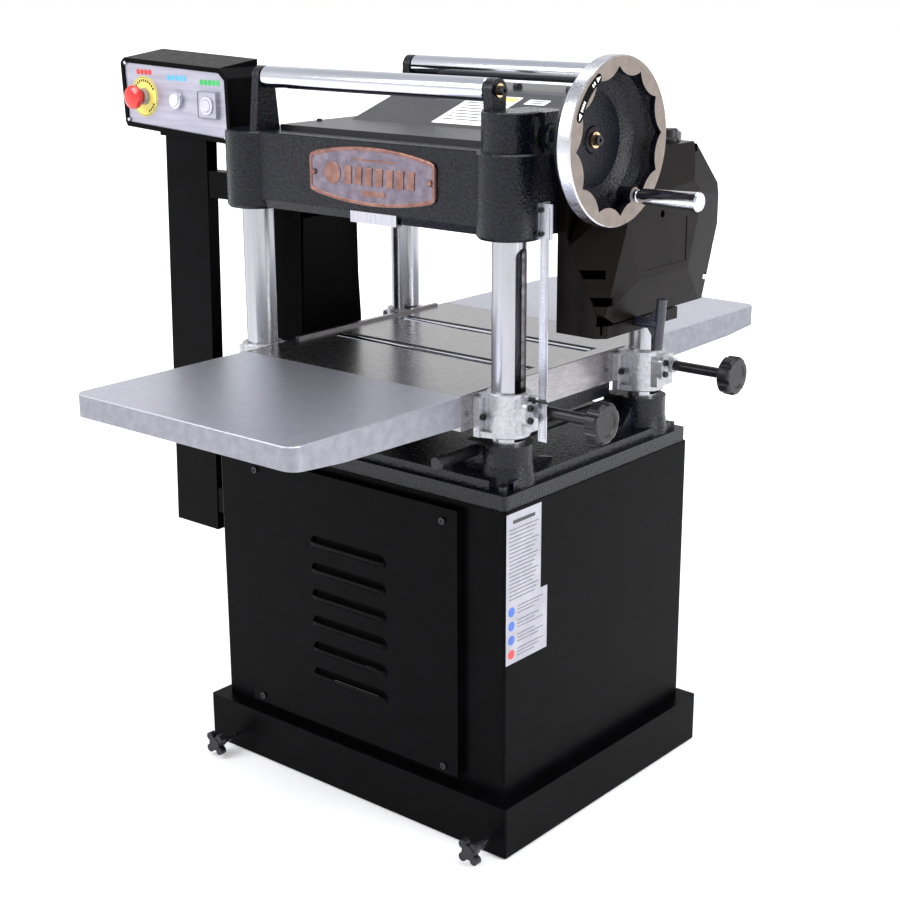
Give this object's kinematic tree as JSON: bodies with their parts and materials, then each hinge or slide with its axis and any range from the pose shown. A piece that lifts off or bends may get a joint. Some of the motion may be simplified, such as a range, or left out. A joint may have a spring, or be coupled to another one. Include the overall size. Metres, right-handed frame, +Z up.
{
  "type": "thickness planer",
  "caption": "Four-post thickness planer on a mobile cabinet: fixed cutterhead above a rising roller table with long wings, side handwheel and post-mounted controls.",
  "frame": {"origin": "floor level, midway between the four columns", "axes": "+X handwheel side, -Y infeed and operator side, +Z up"},
  "size_m": [1.2409, 1.328, 1.34],
  "materials": {
    "cast_black": "black wrinkle paint",
    "powder_black": "black satin powder coat",
    "ground_iron": "ground satin",
    "silver_paint": "light hammered silver",
    "steel": "ground steel",
    "chrome": "polished",
    "alu": "satin",
    "black_plastic": "moulded black",
    "rubber": "black rubber",
    "copper": "antique copper",
    "bronze": "bronze",
    "panel": "white printed panel",
    "red": "red",
    "green": "green",
    "blk_oxide": "black oxide"
  },
  "bodies": {
    "root": {"base_plinth": "powder_black", "caster_forks": "powder_black", "cabinet_shell": "powder_black", "cabinet_door": "powder_black", "base_casting": "cast_black", "columns": "steel", "drive_chains": "steel", "head_casting": "cast_black", "name_plate": "copper", "depth_stop": "alu", "top_cover": "powder_black", "dust_hood": "powder_black", "roller_brackets": "cast_black", "elevation_gearbox": "cast_black", "gear_housing": "black_plastic", "gear_cover": "black_plastic", "oil_cap": "black_plastic", "height_scale": "alu", "belt_guard": "powder_black", "motor_housing": "cast_black", "v_belts": "rubber", "control_post": "powder_black", "control_box": "powder_black", "control_panel": "panel", "shaft_bearings": "steel", "machine_screws": "blk_oxide"},
    "table": {"main_table": "ground_iron", "infeed_wing": "ground_iron", "outfeed_wing": "ground_iron", "table_collars": "silver_paint", "lift_nuts": "bronze", "table_fittings": "blk_oxide"},
    "wheel": {"handwheel": "cast_black", "handwheel_shaft": "bronze"},
    "crank": {"crank_handle": "chrome"},
    "knob_f": {"lock_knob_front": "black_plastic"},
    "knob_r": {"lock_knob_rear": "black_plastic"},
    "bedroll_f": {"bed_roller_front": "chrome"},
    "bedroll_r": {"bed_roller_rear": "chrome"},
    "screw_fl": {"leadscrew_front_left": "steel"},
    "screw_fr": {"leadscrew_front_right": "steel"},
    "screw_rl": {"leadscrew_rear_left": "steel"},
    "screw_rr": {"leadscrew_rear_right": "steel"},
    "roller_f": {"return_roller_front": "chrome"},
    "roller_r": {"return_roller_rear": "chrome"},
    "cutter": {"cutterhead": "steel"},
    "motor": {"motor_pulley": "steel"},
    "cluster": {"gear_cluster": "steel"},
    "infeed": {"infeed_roller": "steel"},
    "outfeed": {"outfeed_roller": "steel"},
    "fingers": {"antikickback_fingers": "steel"},
    "lever": {"speed_lever": "black_plastic"},
    "stop": {"stop_button": "red"},
    "start": {"start_button": "green"},
    "brake_l": {"brake_knob_left": "black_plastic"},
    "brake_r": {"brake_knob_right": "black_plastic"},
    "wheels_f": {"front_wheels": "rubber"},
    "wheels_r": {"rear_wheels": "rubber"},
    "bar_l": {"lifting_bar_left": "steel"},
    "bar_r": {"lifting_bar_right": "steel"}
  },
  "joints": [
    {"name": "handwheel_turn", "type": "hinge", "parent": "root", "child": "wheel", "pos_m": [0.44, -0.16, 1.21], "axis": [1, 0, 0], "range_deg": [-720, 20250]},
    {"name": "table_lift", "type": "slide", "parent": "root", "child": "table", "axis": [0, 0, 1], "range_m": [-0.0082, 0.2252]},
    {"name": "leadscrew_fl_turn", "type": "hinge", "parent": "root", "child": "screw_fl", "pos_m": [-0.29, -0.2, 0.9], "axis": [0, 0, 1], "range_deg": [-722, 20252]},
    {"name": "leadscrew_fr_turn", "type": "hinge", "parent": "root", "child": "screw_fr", "pos_m": [0.29, -0.2, 0.9], "axis": [0, 0, 1], "range_deg": [-722, 20252]},
    {"name": "leadscrew_rl_turn", "type": "hinge", "parent": "root", "child": "screw_rl", "pos_m": [-0.29, 0.2, 0.9], "axis": [0, 0, 1], "range_deg": [-722, 20252]},
    {"name": "leadscrew_rr_turn", "type": "hinge", "parent": "root", "child": "screw_rr", "pos_m": [0.29, 0.2, 0.9], "axis": [0, 0, 1], "range_deg": [-722, 20252]},
    {"name": "crank_spin", "type": "hinge", "parent": "wheel", "child": "crank", "pos_m": [0.52, -0.116, 1.124], "axis": [1, 0, 0], "continuous": true},
    {"name": "lock_front", "type": "hinge", "parent": "table", "child": "knob_f", "pos_m": [0.44, -0.181, 0.769], "axis": [1, 0, 0], "range_deg": [-180, 180]},
    {"name": "lock_rear", "type": "hinge", "parent": "table", "child": "knob_r", "pos_m": [0.44, 0.219, 0.769], "axis": [1, 0, 0], "range_deg": [-180, 180]},
    {"name": "bed_roller_front_spin", "type": "hinge", "parent": "table", "child": "bedroll_f", "pos_m": [0, -0.0645, 0.783], "axis": [1, 0, 0], "continuous": true},
    {"name": "bed_roller_rear_spin", "type": "hinge", "parent": "table", "child": "bedroll_r", "pos_m": [0, 0.122, 0.783], "axis": [1, 0, 0], "continuous": true},
    {"name": "return_roller_front_spin", "type": "hinge", "parent": "root", "child": "roller_f", "pos_m": [0, -0.2, 1.28], "axis": [1, 0, 0], "continuous": true},
    {"name": "return_roller_rear_spin", "type": "hinge", "parent": "root", "child": "roller_r", "pos_m": [0, 0.2, 1.28], "axis": [1, 0, 0], "continuous": true},
    {"name": "motor_spin", "type": "hinge", "parent": "root", "child": "motor", "pos_m": [-0.39, 0.04, 0.45], "axis": [1, 0, 0], "continuous": true},
    {"name": "cutterhead_spin", "type": "hinge", "parent": "root", "child": "cutter", "pos_m": [0, 0.029, 1.071], "axis": [1, 0, 0], "continuous": true},
    {"name": "gear_cluster_spin", "type": "hinge", "parent": "root", "child": "cluster", "pos_m": [0.38, 0.029, 0.9875], "axis": [1, 0, 0], "continuous": true},
    {"name": "infeed_roller_spin", "type": "hinge", "parent": "root", "child": "infeed", "pos_m": [0, -0.0645, 1.0593], "axis": [1, 0, 0], "continuous": true},
    {"name": "outfeed_roller_spin", "type": "hinge", "parent": "root", "child": "outfeed", "pos_m": [0, 0.122, 1.0593], "axis": [1, 0, 0], "continuous": true},
    {"name": "antikickback_swing", "type": "hinge", "parent": "root", "child": "fingers", "pos_m": [0, -0.15, 1.128], "axis": [1, 0, 0], "range_deg": [0, 28]},
    {"name": "speed_select", "type": "slide", "parent": "root", "child": "lever", "axis": [1, 0, 0], "range_m": [0, 0.008]},
    {"name": "stop_press", "type": "slide", "parent": "root", "child": "stop", "axis": [0, 1, 0], "range_m": [0, 0.006], "stiffness_N_per_m": 500, "springref_m": -0.002},
    {"name": "start_press", "type": "slide", "parent": "root", "child": "start", "axis": [0, 1, 0], "range_m": [0, 0.003], "stiffness_N_per_m": 500, "springref_m": -0.002},
    {"name": "brake_left", "type": "hinge", "parent": "root", "child": "brake_l", "pos_m": [-0.302, -0.34, 0.028], "axis": [0, 1, 0], "range_deg": [-360, 360]},
    {"name": "brake_right", "type": "hinge", "parent": "root", "child": "brake_r", "pos_m": [0.331, -0.34, 0.028], "axis": [0, 1, 0], "range_deg": [-360, 360]},
    {"name": "front_wheels_roll", "type": "hinge", "parent": "root", "child": "wheels_f", "pos_m": [0, -0.255, 0.03], "axis": [1, 0, 0], "continuous": true},
    {"name": "rear_wheels_roll", "type": "hinge", "parent": "root", "child": "wheels_r", "pos_m": [0, 0.255, 0.03], "axis": [1, 0, 0], "continuous": true},
    {"name": "lifting_bar_left_slide", "type": "slide", "parent": "root", "child": "bar_l", "axis": [0, 1, 0], "range_m": [-0.07, 0.07]},
    {"name": "lifting_bar_right_slide", "type": "slide", "parent": "root", "child": "bar_r", "axis": [0, 1, 0], "range_m": [-0.07, 0.07]}
  ],
  "couplings": [
    {"joint": "table_lift", "follows": "handwheel_turn", "m_per_rad": 0.00063662},
    {"joint": "leadscrew_fl_turn", "follows": "handwheel_turn", "ratio": 1},
    {"joint": "leadscrew_fr_turn", "follows": "handwheel_turn", "ratio": 1},
    {"joint": "leadscrew_rl_turn", "follows": "handwheel_turn", "ratio": 1},
    {"joint": "leadscrew_rr_turn", "follows": "handwheel_turn", "ratio": 1},
    {"joint": "cutterhead_spin", "follows": "motor_spin", "ratio": 1.6111},
    {"joint": "gear_cluster_spin", "follows": "motor_spin", "ratio": -0.65909},
    {"joint": "infeed_roller_spin", "follows": "motor_spin", "ratio": -0.32955},
    {"joint": "outfeed_roller_spin", "follows": "motor_spin", "ratio": -0.32955}
  ]
}
